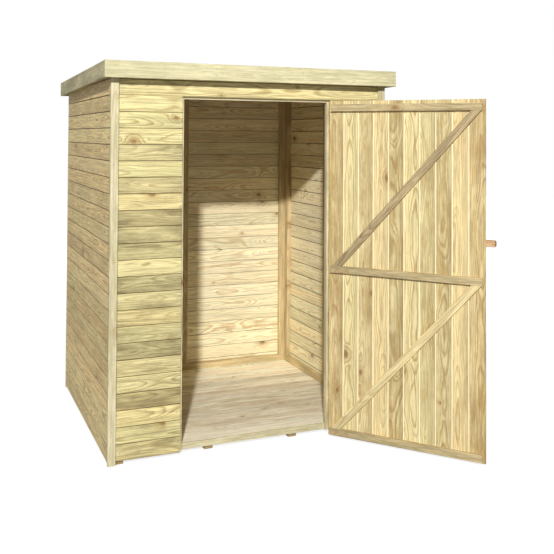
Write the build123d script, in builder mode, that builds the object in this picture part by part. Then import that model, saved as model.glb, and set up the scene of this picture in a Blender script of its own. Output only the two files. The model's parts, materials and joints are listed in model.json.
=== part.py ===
from build123d import *

import os
from math import cos, hypot, radians, sin, sqrt

# A small pent-roofed garden shed of pressure-treated pine, with one inset ledged-and-braced door.
# Millimetres. X runs along the front to the right, Y runs back, Z up from the ground.
# The origin is on the ground, at the front left corner of the base: the lower corner of the left bearer.

# Walls, measured over the cladding
wall_width = 1525
wall_depth = 1272
clad_t = 12
clad_clear = 20

# Framing timber behind the cladding
frame_w = 40
frame_t = 28

# Doorway, cut through the front cladding
left_panel_w = 364
doorway_w = 828
doorway_h = 1766

# Base
bearer_w = 45
bearer_h = 28
bearer_side_inset = 38
bearer_front_inset = 16
floor_t = 16

# Stops that the door closes against, and the threshold between them
stop_w = 12
stop_clear = 5
threshold_w = 12
threshold_h = 30

# Battens that cover the corners
corner_batten_w = 40
corner_batten_t = 12
corner_batten_drop = 13

# Roof
header_rise = 164
roof_fall = 28
front_overhang = 58
side_overhang = 41
back_overhang = 74
fascia_h = 83
fascia_t = 16
fascia_lip = 2
felt_t = 3
deck_t = 12
joist_w = 28
joist_h = 45
joist_count = 2

# Door, standing open as built
door_open = 131
door_t = 12
door_side_gap = 6
door_top_gap = 6
door_ground_gap = 10
ledge_h = 38
ledge_t = 16
ledge_hinge_clear = 6
ledge_free_clear = 9
top_ledge_clear = 12
middle_ledge_rise = 858
bottom_ledge_rise = 5
brace_w = 38
brace_foot_inset = 13
brace_head_inset = 3

# T-hinges on the outer face
hinge_leaf_t = 2.5
knuckle_r = 5.5
pin_r = 3
pin_clear = 0.05
knuckle_gap = 0.5
strap_l = 250
strap_root_h = 26
strap_tip_h = 15
plate_w = 40
plate_h = 90
plate_knuckle_l = 13
hinge_end_inset = 80

# Wooden pull on the outer face: a round-ended block that reaches past the free edge
knob_height = 1073
knob_l = 92
knob_w = 34
knob_t = 20
knob_reach = 46
knob_undercut = 5
knob_corner_r = 9
knob_ease_r = 4

# Eased edges of planed timber
ease = 2

# Places worked out from the sizes
left = -bearer_side_inset
right = left + wall_width
front = -bearer_front_inset
back = front + wall_depth
floor_top = bearer_h + floor_t
doorway_left = left + left_panel_w
doorway_right = doorway_left + doorway_w
head_z = clad_clear + doorway_h
front_height = head_z + header_rise
frame_left = left + clad_t
frame_right = right - clad_t
frame_front = front + clad_t
frame_back = back - clad_t
room_left = frame_left + frame_t
room_right = frame_right - frame_t
room_front = frame_front + frame_t
room_back = frame_back - frame_t
rail_top = floor_top + frame_w

# The roof is framed by the four fascias, and falls towards the back
roof_left = left - side_overhang
roof_right = right + side_overhang
roof_front = front - front_overhang
roof_back = back + back_overhang
deck_left = roof_left + fascia_t
deck_right = roof_right - fascia_t
deck_front = roof_front + fascia_t
deck_back = roof_back - fascia_t
roof_slope = roof_fall / (deck_back - deck_front)


def fascia_z(y):
    """Height of the side fascias' top edge at depth y."""
    return front_height - roof_slope * (y - deck_front)


def felt_z(y):
    """Height of the felt's upper face at depth y."""
    return fascia_z(y) - fascia_lip


def deck_z(y):
    """Height of the roof boards' upper face at depth y."""
    return felt_z(y) - felt_t


def eaves_z(y):
    """Height of the roof boards' lower face at depth y, where the walls end."""
    return deck_z(y) - deck_t


def sloped(y_front, y_back, low, high):
    """Corners of a side profile whose low and high edges are heights or functions of y."""
    low_at = low if callable(low) else lambda y: low
    high_at = high if callable(high) else lambda y: high
    return [
        (y_front, low_at(y_front)),
        (y_back, low_at(y_back)),
        (y_back, high_at(y_back)),
        (y_front, high_at(y_front)),
    ]


def under_top_rail(y):
    """Lower face of the top rails at depth y."""
    return eaves_z(y) - frame_w


os.makedirs("parts", exist_ok=True)

# Base: four bearers, the middle two shorter so that the door's bottom ledge can close in front of them
stop_front = front + door_t + stop_clear
threshold_front = front + door_t + ledge_t + stop_clear
threshold_back = threshold_front + threshold_w
bearer_back = frame_back
bearer_starts = [0, threshold_back, threshold_back, 0]
bearer_pitch = (wall_width - 2 * bearer_side_inset - bearer_w) / (len(bearer_starts) - 1)

with BuildPart() as bearers:
    with BuildSketch(Plane.XY):
        for number, start in enumerate(bearer_starts):
            with Locations((number * bearer_pitch, start)):
                Rectangle(bearer_w, bearer_back - start, align=(Align.MIN, Align.MIN))
    extrude(amount=bearer_h)
bearers.part.label = "bearers"
export_step(bearers.part, "parts/bearers.step")

with BuildPart() as floor:
    with BuildSketch(Plane.XY.offset(bearer_h)):
        with Locations((frame_left, frame_front)):
            Rectangle(
                frame_right - frame_left, frame_back - frame_front, align=(Align.MIN, Align.MIN)
            )
        with Locations((doorway_left, frame_front)):
            Rectangle(
                doorway_w, threshold_back - frame_front, align=(Align.MIN, Align.MIN),
                mode=Mode.SUBTRACT,
            )
    extrude(amount=floor_t)
floor.part.label = "floor"
export_step(floor.part, "parts/floor.step")

with BuildPart() as threshold:
    with BuildSketch(Plane.YZ.offset(doorway_left + stop_w)):
        with Locations((threshold_front, clad_clear)):
            Rectangle(threshold_w, threshold_h, align=(Align.MIN, Align.MIN))
    extrude(amount=doorway_w - 2 * stop_w)
    chamfer(threshold.edges().filter_by(Axis.X).sort_by(Axis.Z)[-2:].sort_by(Axis.Y)[0], ease)
threshold.part.label = "threshold"
export_step(threshold.part, "parts/threshold.step")

# Cladding: the front and back sheets cover the ends of the side sheets
with BuildPart() as left_wall:
    with BuildSketch(Plane.YZ.offset(left)):
        Polygon(*sloped(frame_front, frame_back, clad_clear, eaves_z), align=None)
    extrude(amount=clad_t)
left_wall.part.label = "left_wall"
export_step(left_wall.part, "parts/left_wall.step")

with BuildPart() as right_wall:
    with BuildSketch(Plane.YZ.offset(frame_right)):
        Polygon(*sloped(frame_front, frame_back, clad_clear, eaves_z), align=None)
    extrude(amount=clad_t)
right_wall.part.label = "right_wall"
export_step(right_wall.part, "parts/right_wall.step")

with BuildPart() as back_wall:
    with BuildSketch(Plane.YZ.offset(left)):
        Polygon(*sloped(frame_back, back, clad_clear, eaves_z), align=None)
    extrude(amount=wall_width)
back_wall.part.label = "back_wall"
export_step(back_wall.part, "parts/back_wall.step")

with BuildPart() as front_wall_left:
    with BuildSketch(Plane.YZ.offset(left)):
        Polygon(*sloped(front, frame_front, clad_clear, head_z), align=None)
    extrude(amount=left_panel_w)
front_wall_left.part.label = "front_wall_left"
export_step(front_wall_left.part, "parts/front_wall_left.step")

with BuildPart() as front_wall_right:
    with BuildSketch(Plane.YZ.offset(doorway_right)):
        Polygon(*sloped(front, frame_front, clad_clear, head_z), align=None)
    extrude(amount=right - doorway_right)
front_wall_right.part.label = "front_wall_right"
export_step(front_wall_right.part, "parts/front_wall_right.step")

with BuildPart() as front_wall_header:
    with BuildSketch(Plane.YZ.offset(left)):
        Polygon(*sloped(front, frame_front, head_z, eaves_z), align=None)
    extrude(amount=wall_width)
front_wall_header.part.label = "front_wall_header"
export_step(front_wall_header.part, "parts/front_wall_header.step")

# Frames: each wall has rails along the floor and under the roof, with stiles between them
side_stile_ys = [room_front, (front + back - frame_w) / 2, room_back - frame_w]
with BuildPart() as left_wall_stiles:
    with BuildSketch(Plane.YZ.offset(frame_left)):
        for y in side_stile_ys:
            Polygon(*sloped(y, y + frame_w, rail_top, under_top_rail), align=None)
    extrude(amount=frame_t)
left_wall_stiles.part.label = "left_wall_stiles"
export_step(left_wall_stiles.part, "parts/left_wall_stiles.step")

with BuildPart() as right_wall_stiles:
    with BuildSketch(Plane.YZ.offset(room_right)):
        for y in side_stile_ys:
            Polygon(*sloped(y, y + frame_w, rail_top, under_top_rail), align=None)
    extrude(amount=frame_t)
right_wall_stiles.part.label = "right_wall_stiles"
export_step(right_wall_stiles.part, "parts/right_wall_stiles.step")

with BuildPart() as left_wall_rails:
    with BuildSketch(Plane.YZ.offset(frame_left)):
        Polygon(*sloped(room_front, room_back, floor_top, rail_top), align=None)
        Polygon(*sloped(room_front, room_back, under_top_rail, eaves_z), align=None)
    extrude(amount=frame_t)
left_wall_rails.part.label = "left_wall_rails"
export_step(left_wall_rails.part, "parts/left_wall_rails.step")

with BuildPart() as right_wall_rails:
    with BuildSketch(Plane.YZ.offset(room_right)):
        Polygon(*sloped(room_front, room_back, floor_top, rail_top), align=None)
        Polygon(*sloped(room_front, room_back, under_top_rail, eaves_z), align=None)
    extrude(amount=frame_t)
right_wall_rails.part.label = "right_wall_rails"
export_step(right_wall_rails.part, "parts/right_wall_rails.step")

back_stile_xs = [room_left, (left + right - frame_w) / 2, room_right - frame_w]
with BuildPart() as back_wall_stiles:
    for x in back_stile_xs:
        with BuildSketch(Plane.YZ.offset(x)):
            Polygon(*sloped(room_back, frame_back, rail_top, under_top_rail), align=None)
    extrude(amount=frame_w)
back_wall_stiles.part.label = "back_wall_stiles"
export_step(back_wall_stiles.part, "parts/back_wall_stiles.step")

with BuildPart() as back_wall_rails:
    with BuildSketch(Plane.YZ.offset(room_left)):
        Polygon(*sloped(room_back, frame_back, floor_top, rail_top), align=None)
        Polygon(*sloped(room_back, frame_back, under_top_rail, eaves_z), align=None)
    extrude(amount=room_right - room_left)
back_wall_rails.part.label = "back_wall_rails"
export_step(back_wall_rails.part, "parts/back_wall_rails.step")

# The two inner stiles of the front frame are the door's jambs, and a head rail joins them
front_stile_xs = [room_left, doorway_left - frame_w, doorway_right, room_right - frame_w]
with BuildPart() as front_wall_stiles:
    for x in front_stile_xs:
        with BuildSketch(Plane.YZ.offset(x)):
            Polygon(*sloped(frame_front, room_front, rail_top, under_top_rail), align=None)
    extrude(amount=frame_w)
front_wall_stiles.part.label = "front_wall_stiles"
export_step(front_wall_stiles.part, "parts/front_wall_stiles.step")

with BuildPart() as front_wall_rails:
    with BuildSketch(Plane.YZ.offset(room_left)):
        Polygon(*sloped(frame_front, room_front, floor_top, rail_top), align=None)
    extrude(amount=doorway_left - room_left)
    with BuildSketch(Plane.YZ.offset(doorway_right)):
        Polygon(*sloped(frame_front, room_front, floor_top, rail_top), align=None)
    extrude(amount=room_right - doorway_right)
    with BuildSketch(Plane.YZ.offset(doorway_left)):
        Polygon(*sloped(frame_front, room_front, head_z, head_z + frame_w), align=None)
    extrude(amount=doorway_w)
    with BuildSketch(Plane.YZ.offset(room_left)):
        Polygon(*sloped(frame_front, room_front, under_top_rail, eaves_z), align=None)
    extrude(amount=room_right - room_left)
front_wall_rails.part.label = "front_wall_rails"
export_step(front_wall_rails.part, "parts/front_wall_rails.step")

# Square posts fill the four corners between the frames
with BuildPart() as corner_posts:
    for x in (frame_left, room_right):
        with BuildSketch(Plane.YZ.offset(x)):
            Polygon(*sloped(frame_front, room_front, floor_top, eaves_z), align=None)
            Polygon(*sloped(room_back, frame_back, floor_top, eaves_z), align=None)
    extrude(amount=frame_t)
corner_posts.part.label = "corner_posts"
export_step(corner_posts.part, "parts/corner_posts.step")

# Stops: two uprights and a head piece, set back so that the closed door lies flush with the cladding
stop_top = head_z - stop_w
with BuildPart() as door_stop_left:
    with BuildSketch(Plane.YZ.offset(doorway_left)):
        Polygon(*sloped(stop_front, room_front, clad_clear, stop_top), align=None)
    extrude(amount=stop_w)
door_stop_left.part.label = "door_stop_left"
export_step(door_stop_left.part, "parts/door_stop_left.step")

with BuildPart() as door_stop_right:
    with BuildSketch(Plane.YZ.offset(doorway_right - stop_w)):
        Polygon(*sloped(stop_front, room_front, clad_clear, stop_top), align=None)
    extrude(amount=stop_w)
door_stop_right.part.label = "door_stop_right"
export_step(door_stop_right.part, "parts/door_stop_right.step")

with BuildPart() as door_stop_top:
    with BuildSketch(Plane.YZ.offset(doorway_left)):
        Polygon(*sloped(stop_front, room_front, stop_top, head_z), align=None)
    extrude(amount=doorway_w)
door_stop_top.part.label = "door_stop_top"
export_step(door_stop_top.part, "parts/door_stop_top.step")

# Corner battens cover the end grain, front and back, and hang a little below the cladding
batten_low = clad_clear - corner_batten_drop
corner_battens = [
    ("corner_batten_front_left", left, front - corner_batten_t),
    ("corner_batten_front_right", right - corner_batten_w, front - corner_batten_t),
    ("corner_batten_back_left", left, back),
    ("corner_batten_back_right", right - corner_batten_w, back),
]
for batten_name, batten_x, batten_y in corner_battens:
    outer_group = 0 if batten_y < front else -1
    with BuildPart() as corner_batten:
        with BuildSketch(Plane.YZ.offset(batten_x)):
            Polygon(*sloped(batten_y, batten_y + corner_batten_t, batten_low, eaves_z), align=None)
        extrude(amount=corner_batten_w)
        chamfer(corner_batten.edges().filter_by(Axis.Z).group_by(Axis.Y)[outer_group], ease)
    corner_batten.part.label = batten_name
    export_step(corner_batten.part, f"parts/{batten_name}.step")

# Roof: joists between the top rails, boards over the walls, felt, and a fascia on each side
joist_pitch = (room_right - room_left) / (joist_count + 1)
with BuildPart() as roof_joists:
    for number in range(joist_count):
        joist_x = room_left + (number + 1) * joist_pitch - joist_w / 2
        with BuildSketch(Plane.YZ.offset(joist_x)):
            Polygon(
                *sloped(room_front, room_back, lambda y: eaves_z(y) - joist_h, eaves_z), align=None
            )
    extrude(amount=joist_w)
roof_joists.part.label = "roof_joists"
export_step(roof_joists.part, "parts/roof_joists.step")

with BuildPart() as roof_deck:
    with BuildSketch(Plane.YZ.offset(deck_left)):
        Polygon(*sloped(deck_front, deck_back, eaves_z, deck_z), align=None)
    extrude(amount=deck_right - deck_left)
roof_deck.part.label = "roof_deck"
export_step(roof_deck.part, "parts/roof_deck.step")

with BuildPart() as roof_felt:
    with BuildSketch(Plane.YZ.offset(deck_left)):
        Polygon(*sloped(deck_front, deck_back, deck_z, felt_z), align=None)
    extrude(amount=deck_right - deck_left)
roof_felt.part.label = "roof_felt"
export_step(roof_felt.part, "parts/roof_felt.step")

with BuildPart() as fascia_front:
    with BuildSketch(Plane.YZ.offset(roof_left)):
        Polygon(
            *sloped(roof_front, deck_front, front_height - fascia_h, front_height), align=None
        )
    extrude(amount=roof_right - roof_left)
    chamfer(fascia_front.edges().filter_by(Axis.X).group_by(Axis.Y)[0], ease)
fascia_front.part.label = "fascia_front"
export_step(fascia_front.part, "parts/fascia_front.step")

back_height = fascia_z(deck_back)
with BuildPart() as fascia_back:
    with BuildSketch(Plane.YZ.offset(roof_left)):
        Polygon(*sloped(deck_back, roof_back, back_height - fascia_h, back_height), align=None)
    extrude(amount=roof_right - roof_left)
    chamfer(fascia_back.edges().filter_by(Axis.X).group_by(Axis.Y)[-1], ease)
fascia_back.part.label = "fascia_back"
export_step(fascia_back.part, "parts/fascia_back.step")

for side_name, side_x, outer_index in (("left", roof_left, 0), ("right", deck_right, -1)):
    with BuildPart() as fascia_side:
        with BuildSketch(Plane.YZ.offset(side_x)):
            Polygon(
                *sloped(deck_front, deck_back, lambda y: fascia_z(y) - fascia_h, fascia_z),
                align=None,
            )
        extrude(amount=fascia_t)
        outer_face = fascia_side.faces().sort_by(Axis.X)[outer_index]
        long_edges = outer_face.edges().sort_by(SortBy.LENGTH)[-2:]
        chamfer(long_edges, ease)
    fascia_side.part.label = f"fascia_{side_name}"
    export_step(fascia_side.part, f"parts/fascia_{side_name}.step")

# Door. Its plane starts at the hinge pin: local x runs to the free edge, local y is up, and the
# normal points to the inner face. The pin stands in the middle of the gap, clear of the cladding.
hinge_x = doorway_right - door_side_gap / 2
hinge_y = front - knuckle_r
door_angle = radians(180 + door_open)
door_along = (cos(door_angle), sin(door_angle), 0)
door_inward = (sin(door_angle), -cos(door_angle), 0)
door_plane = Plane(origin=(hinge_x, hinge_y, 0), x_dir=door_along, z_dir=door_inward)
door_outer = knuckle_r
door_inner = door_outer + door_t
door_w = doorway_w - 2 * door_side_gap
door_hinge_edge = door_side_gap / 2
door_free_edge = door_hinge_edge + door_w
door_low = door_ground_gap
door_high = head_z - door_top_gap
inward_axis = Axis((0, 0, 0), door_inward)

with BuildPart() as door_boards:
    with BuildSketch(door_plane.offset(door_outer)):
        with Locations((door_hinge_edge, door_low)):
            Rectangle(door_w, door_high - door_low, align=(Align.MIN, Align.MIN))
    extrude(amount=door_t)
door_boards.part.label = "door_boards"
export_step(door_boards.part, "parts/door_boards.step")

# Ledges stop short of both edges, so that they pass inside the stops
stop_lap = stop_w - door_side_gap
ledge_start = door_hinge_edge + stop_lap + ledge_hinge_clear
ledge_end = door_free_edge - stop_lap - ledge_free_clear
ledge_lows = {
    "door_ledge_top": stop_top - top_ledge_clear - ledge_h,
    "door_ledge_middle": door_low + middle_ledge_rise,
    "door_ledge_bottom": door_low + bottom_ledge_rise,
}
for ledge_name, ledge_low in ledge_lows.items():
    with BuildPart() as door_ledge:
        with BuildSketch(door_plane.offset(door_inner)):
            with Locations((ledge_start, ledge_low)):
                Rectangle(ledge_end - ledge_start, ledge_h, align=(Align.MIN, Align.MIN))
        extrude(amount=ledge_t)
        chamfer(door_ledge.faces().sort_by(inward_axis)[-1].edges(), ease)
    door_ledge.part.label = ledge_name
    export_step(door_ledge.part, f"parts/{ledge_name}.step")


def brace_outline(low, high):
    """A brace between two ledges: its ends are cut level, so that they bear on the ledges."""
    foot = ledge_start + brace_foot_inset
    head = ledge_end - brace_head_inset
    span = head - foot
    rise = high - low
    root = sqrt((brace_w * span) ** 2 + (rise**2 - brace_w**2) * hypot(span, rise) ** 2)
    cut = brace_w * (root - brace_w * span) / (rise**2 - brace_w**2)
    return [(foot, low), (foot + cut, low), (head, high), (head - cut, high)]


brace_bays = {
    "door_brace_upper": (ledge_lows["door_ledge_middle"] + ledge_h, ledge_lows["door_ledge_top"]),
    "door_brace_lower": (ledge_lows["door_ledge_bottom"] + ledge_h, ledge_lows["door_ledge_middle"]),
}
for brace_name, (bay_low, bay_high) in brace_bays.items():
    with BuildPart() as door_brace:
        with BuildSketch(door_plane.offset(door_inner)):
            Polygon(*brace_outline(bay_low, bay_high), align=None)
        extrude(amount=ledge_t)
        long_edges = door_brace.faces().sort_by(inward_axis)[-1].edges().sort_by(SortBy.LENGTH)[-2:]
        chamfer(long_edges, ease)
    door_brace.part.label = brace_name
    export_step(door_brace.part, f"parts/{brace_name}.step")

# T-hinges: a tapered strap on the door turns on a pin between the two knuckles of a wall plate
hinge_heights = {
    "top": door_high - hinge_end_inset,
    "bottom": door_low + hinge_end_inset,
}
barrel_half = strap_root_h / 2 + knuckle_gap + plate_knuckle_l
leaf_start = knuckle_r + knuckle_gap
tip_r = strap_tip_h / 2
for hinge_name, hinge_z in hinge_heights.items():
    with BuildPart() as hinge_strap:
        with BuildSketch(door_plane.offset(door_outer - hinge_leaf_t)):
            with BuildLine():
                Polyline(
                    (strap_l - tip_r, hinge_z - tip_r),
                    (leaf_start, hinge_z - strap_root_h / 2),
                    (0, hinge_z - strap_root_h / 2),
                    (0, hinge_z + strap_root_h / 2),
                    (leaf_start, hinge_z + strap_root_h / 2),
                    (strap_l - tip_r, hinge_z + tip_r),
                )
                ThreePointArc(
                    (strap_l - tip_r, hinge_z + tip_r),
                    (strap_l, hinge_z),
                    (strap_l - tip_r, hinge_z - tip_r),
                )
            make_face()
        extrude(amount=hinge_leaf_t)
        with BuildSketch(Plane.XY.offset(hinge_z - strap_root_h / 2)):
            with Locations((hinge_x, hinge_y)):
                Circle(knuckle_r)
        extrude(amount=strap_root_h)
        with BuildSketch(Plane.XY.offset(hinge_z - strap_root_h / 2)):
            with Locations((hinge_x, hinge_y)):
                Circle(pin_r + pin_clear)
        extrude(amount=strap_root_h, mode=Mode.SUBTRACT)
    hinge_strap.part.label = f"hinge_strap_{hinge_name}"
    export_step(hinge_strap.part, f"parts/hinge_strap_{hinge_name}.step")

    knuckle_lows = [hinge_z - barrel_half, hinge_z + barrel_half - plate_knuckle_l]
    with BuildPart() as hinge_plate:
        with BuildSketch(Plane.XZ.offset(-front)):
            with Locations((hinge_x + leaf_start, hinge_z - plate_h / 2)):
                Rectangle(plate_w - leaf_start, plate_h, align=(Align.MIN, Align.MIN))
            for knuckle_low in knuckle_lows:
                with Locations((hinge_x, knuckle_low)):
                    Rectangle(leaf_start, plate_knuckle_l, align=(Align.MIN, Align.MIN))
        extrude(amount=hinge_leaf_t)
        for knuckle_low in knuckle_lows:
            with BuildSketch(Plane.XY.offset(knuckle_low)):
                with Locations((hinge_x, hinge_y)):
                    Circle(knuckle_r)
        extrude(amount=plate_knuckle_l)
        with BuildSketch(Plane.XY.offset(hinge_z - barrel_half)):
            with Locations((hinge_x, hinge_y)):
                Circle(pin_r + pin_clear)
        extrude(amount=2 * barrel_half, mode=Mode.SUBTRACT)
    hinge_plate.part.label = f"hinge_plate_{hinge_name}"
    export_step(hinge_plate.part, f"parts/hinge_plate_{hinge_name}.step")

with BuildPart() as hinge_pins:
    for hinge_z in hinge_heights.values():
        with BuildSketch(Plane.XY.offset(hinge_z - barrel_half)):
            with Locations((hinge_x, hinge_y)):
                Circle(pin_r)
    extrude(amount=2 * barrel_half)
hinge_pins.part.label = "hinge_pins"
export_step(hinge_pins.part, "parts/hinge_pins.step")

# The pull is undercut where it stands past the door's edge, so that it clears the cladding when
# the door is shut and leaves room for the fingers
with BuildPart() as door_knob:
    with BuildSketch(door_plane.offset(door_outer - knob_t)):
        with Locations((door_free_edge + knob_reach - knob_l / 2, knob_height)):
            RectangleRounded(knob_l, knob_w, knob_corner_r)
    extrude(amount=knob_t)
    with BuildSketch(door_plane.offset(door_outer - knob_undercut)):
        with Locations((door_free_edge, knob_height)):
            Rectangle(knob_reach, knob_w, align=(Align.MIN, Align.CENTER))
    extrude(amount=knob_undercut, mode=Mode.SUBTRACT)
    fillet(door_knob.faces().sort_by(inward_axis)[0].edges(), knob_ease_r)
door_knob.part.label = "door_knob"
export_step(door_knob.part, "parts/door_knob.step")
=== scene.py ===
# %% [markdown]
# # Dressing a small pent-roofed garden shed
#
# The construction model holds every post, rail, ledge and hinge of the shed at its real size,
# but its walls, floor, roof and door are plain sheets. On the real shed those sheets are boards,
# nailed to the frame one by one. This lesson cuts each sheet into its boards, lays the felt,
# drives the nails, and gives every surface its own timber, steel or felt.

# %% Load the fixed model
import json
import math
import random

import bmesh
import bpy
from mathutils import Matrix, Vector


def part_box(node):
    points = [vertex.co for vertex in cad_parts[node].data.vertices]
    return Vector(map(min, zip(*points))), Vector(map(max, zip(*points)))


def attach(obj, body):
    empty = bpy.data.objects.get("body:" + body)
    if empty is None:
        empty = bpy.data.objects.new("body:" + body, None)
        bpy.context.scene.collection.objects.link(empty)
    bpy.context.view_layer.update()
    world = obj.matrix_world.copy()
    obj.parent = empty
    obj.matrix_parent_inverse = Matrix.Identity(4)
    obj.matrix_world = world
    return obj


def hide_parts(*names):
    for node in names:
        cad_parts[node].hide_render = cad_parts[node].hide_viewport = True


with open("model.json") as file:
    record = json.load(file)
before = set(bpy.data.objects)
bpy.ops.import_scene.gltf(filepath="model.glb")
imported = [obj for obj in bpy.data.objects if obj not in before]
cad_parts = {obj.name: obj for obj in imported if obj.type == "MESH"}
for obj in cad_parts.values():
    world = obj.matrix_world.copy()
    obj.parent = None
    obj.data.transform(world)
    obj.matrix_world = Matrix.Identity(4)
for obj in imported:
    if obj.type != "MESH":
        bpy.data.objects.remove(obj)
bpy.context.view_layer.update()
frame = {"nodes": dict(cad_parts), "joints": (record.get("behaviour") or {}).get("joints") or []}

# %% [markdown]
# ## Sizes that everything hangs from
#
# All places are read from the model, so the boards always fit the frame that carries them.
# Only what the model doesn't hold is named here: how many boards each sheet is made of.
# The doorway is 22 boards high, so the cover of one board is the doorway's height over 22.

# %% Places read from the model
MM = 0.001
X, Y, Z = Vector((1, 0, 0)), Vector((0, 1, 0)), Vector((0, 0, 1))
BOARDS_TO_HEAD = 22
DOOR_BOARDS = 10

header_low, header_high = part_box("front_wall_header")
front_low, front_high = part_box("front_wall_left")
right_panel_low, right_panel_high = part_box("front_wall_right")
left_low, left_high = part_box("left_wall")
right_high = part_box("right_wall")[1]
back_low, back_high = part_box("back_wall")
floor_low, floor_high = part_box("floor")
deck_low, deck_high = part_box("roof_deck")
felt_low, felt_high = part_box("roof_felt")

skin = front_high.y - front_low.y
head_z = header_low.z
wall_foot = front_low.z
cover = (head_z - wall_foot) / BOARDS_TO_HEAD
doorway_left, doorway_right = front_high.x, right_panel_low.x
print(f"board cover {cover / MM:.2f} mm, doorway {(doorway_right - doorway_left) / MM:.0f} mm wide")

# %% The roof's slope
roof_run = back_low.y - header_low.y
roof_slope = (header_high.z - back_high.z) / roof_run
roof_angle = math.atan(roof_slope)
print(f"the roof falls {math.degrees(roof_angle):.2f} degrees to the back")

# %% The open door's own directions
# The door is shut at the joint's lower limit, so it stands open by that many degrees.
hinge = frame["joints"][0]
hinge_axis = Vector(hinge["pos_m"])
door_turn = math.radians(180 - hinge["range_deg"][0])
door_along = Vector((math.cos(door_turn), math.sin(door_turn), 0))
door_inward = Vector((math.sin(door_turn), -math.cos(door_turn), 0))


def on_door(along, inward, height):
    """A point of the open door: along it from the pin, inward from the pin, and above the ground."""
    foot = Vector((hinge_axis.x, hinge_axis.y, 0))
    return foot + door_along * along + door_inward * inward + Z * height


def door_reach(node):
    """Lowest and highest distance of a door piece along the door, inward and up."""
    corners = [v.co - Vector((hinge_axis.x, hinge_axis.y, 0)) for v in frame["nodes"][node].data.vertices]
    spans = [[c.dot(axis) for c in corners] for axis in (door_along, door_inward, Z)]
    return [min(s) for s in spans], [max(s) for s in spans]


door_near, door_far = door_reach("door_boards")
print("door boards, mm:", [round(v / MM, 1) for v in door_near], [round(v / MM, 1) for v in door_far])

# %% [markdown]
# ## The camera
#
# Parallel board lines meet at two vanishing points, and those two points give the lens and the
# direction of a camera. The board heights at both ends of a wall then give its distance. The
# picture was cut off-centre from a larger one, which the lens shift repeats, so that upright
# edges stay upright.

# %% Set up the camera
FRAME_PIXELS = 554
SENSOR = 36
FOCAL_PIXELS = 791.2
CENTRE_PIXELS = (248.2, 118.8)
CAMERA_PLACE = Vector((-0.8295, -3.8139, 1.5888))
TURN_RIGHT = 0.3780
TILT_UP = 0.0222
ROLL = 0.0064

camera_data = bpy.data.cameras.new("camera")
camera_data.sensor_width = SENSOR
camera_data.lens = SENSOR * FOCAL_PIXELS / FRAME_PIXELS
camera_data.shift_x = (FRAME_PIXELS / 2 - CENTRE_PIXELS[0]) / FRAME_PIXELS
camera_data.shift_y = (CENTRE_PIXELS[1] - FRAME_PIXELS / 2) / FRAME_PIXELS
camera = bpy.data.objects.new("camera", camera_data)
camera.matrix_world = (
    Matrix.Translation(CAMERA_PLACE)
    @ Matrix.Rotation(-TURN_RIGHT, 4, "Z")
    @ Matrix.Rotation(math.pi / 2 + TILT_UP, 4, "X")
    @ Matrix.Rotation(ROLL, 4, "Z")
)
bpy.context.scene.collection.objects.link(camera)
bpy.context.scene.camera = camera
bpy.context.scene.view_settings.view_transform = "Standard"
print(f"lens {camera_data.lens:.1f} mm, shift {camera_data.shift_x:.3f}, {camera_data.shift_y:.3f}")

# %% [markdown]
# ## Small tools for materials
#
# Colours are written as sRGB hex values, the way a paint chart gives them, and one function
# turns them into the linear values that the renderer works in. One more function adds a node
# with its settings and its links, so that a material reads as a list of steps.

# %% Colours and nodes
def linear(hex_colour):
    """An sRGB hex colour as linear red, green, blue and alpha."""
    channels = [int(hex_colour[i:i + 2], 16) / 255 for i in (1, 3, 5)]
    bent = [c / 12.92 if c <= 0.04045 else ((c + 0.055) / 1.055) ** 2.4 for c in channels]
    return (*bent, 1)


def add(tree, kind, inputs=None, **settings):
    """Add one node. Settings are its properties. An input is a value, a socket to link from, or a
    node, whose first output is linked."""
    made = tree.nodes.new(kind)
    for name, value in settings.items():
        setattr(made, name, value)
    for name, value in (inputs or {}).items():
        if isinstance(value, bpy.types.Node):
            value = value.outputs[0]
        if isinstance(value, bpy.types.NodeSocket):
            tree.links.new(value, made.inputs[name])
        else:
            made.inputs[name].default_value = value
    return made


def new_material(name):
    """An empty node material with its shader and output, and the two of them linked."""
    material = bpy.data.materials.new(name)
    material.use_nodes = True
    tree = material.node_tree
    tree.nodes.clear()
    shader = add(tree, "ShaderNodeBsdfPrincipled")
    add(tree, "ShaderNodeOutputMaterial", {"Surface": shader.outputs["BSDF"]})
    return material, tree, shader


def ramp(tree, factor, stops):
    """A colour ramp through (position, hex colour) stops."""
    made = add(tree, "ShaderNodeValToRGB", {"Fac": factor})
    elements = made.color_ramp.elements
    while len(elements) < len(stops):
        elements.new(0.5)
    for element, (position, colour) in zip(elements, stops):
        element.position = position
        element.color = linear(colour)
    return made.outputs["Color"]


# %% [markdown]
# ## Light and floor
#
# A plain studio: one soft lamp above the camera's left shoulder, and a pale sky that fills the
# shadows. The lamp stands well back, so that its light falls nearly parallel and draws the shade
# of the roof's edge, the ledges and the doorway as the photograph has them. Both are set so that
# a colour on the front wall renders about as it is written. The floor is a mid grey that throws
# little light back, and is lifted to white for the camera alone, so that it keeps the shadow.

# %% Soft studio light
LAMP_SIZE = 0.6
LAMP_DISTANCE = 14.0
LAMP_POWER = 2200
LIGHT_TRAVEL = Vector((0.41, 1.0, -0.53)).normalized()
SKY_STRENGTH = 0.15

lamp_data = bpy.data.lights.new("soft_lamp", "AREA")
lamp_data.shape = "DISK"
lamp_data.size = LAMP_SIZE
lamp_data.energy = LAMP_POWER
lamp = bpy.data.objects.new("soft_lamp", lamp_data)
doorway_corner = Vector((doorway_left, header_low.y, head_z))
lamp.location = doorway_corner - LIGHT_TRAVEL * LAMP_DISTANCE
lamp.rotation_euler = LIGHT_TRAVEL.to_track_quat("-Z", "Y").to_euler()
bpy.context.scene.collection.objects.link(lamp)


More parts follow.
